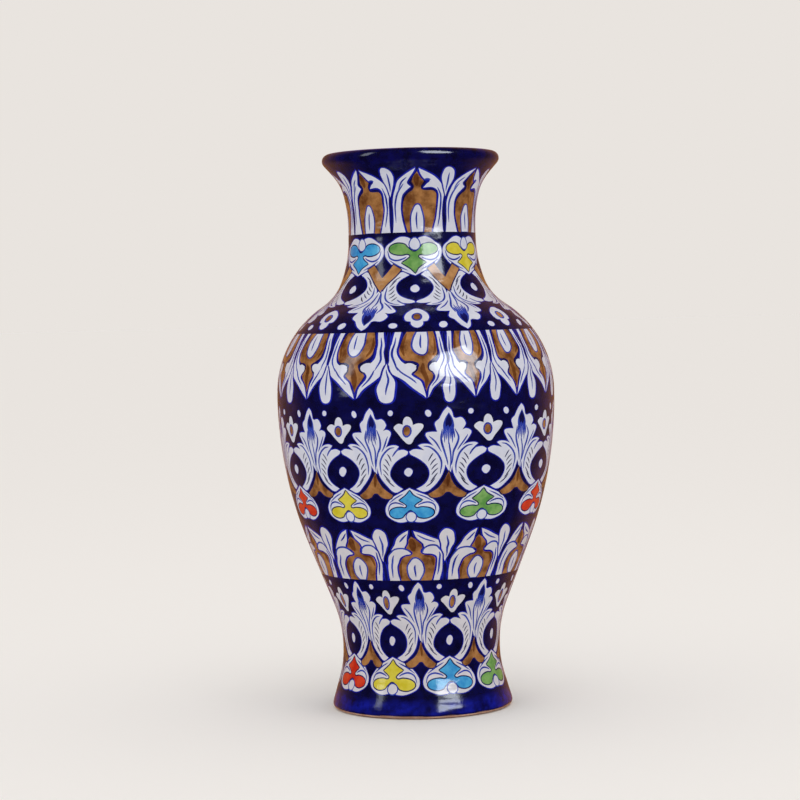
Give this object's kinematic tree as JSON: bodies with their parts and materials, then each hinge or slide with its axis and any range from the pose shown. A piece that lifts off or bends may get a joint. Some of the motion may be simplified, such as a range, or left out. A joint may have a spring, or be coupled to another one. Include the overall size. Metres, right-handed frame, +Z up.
{
  "type": "vase",
  "caption": "Tall baluster vase with a splayed foot, waisted neck and flared lip, painted with arch and flower bands under a clear gloss glaze.",
  "frame": {"origin": "centre of the circle that the vase stands on", "axes": "+Z up along the vase's axis, +X and +Y across it"},
  "size_m": [0.1521, 0.152, 0.3036],
  "materials": {
    "fired_clay": "matt fired earthenware",
    "luting_slip": "matt fired slip",
    "painted_glaze": "cobalt, white and coloured painting under clear gloss glaze",
    "plain_glaze": "white slip under clear gloss glaze"
  },
  "bodies": {
    "root": {"foot": "fired_clay", "lower_body": "fired_clay", "upper_body": "fired_clay", "neck": "fired_clay", "mouth": "fired_clay", "ankle_slip": "luting_slip", "belly_slip": "luting_slip", "neck_slip": "luting_slip", "mouth_slip": "luting_slip", "outer_glaze": "painted_glaze", "body_lining": "plain_glaze", "neck_lining": "plain_glaze"}
  },
  "joints": []
}
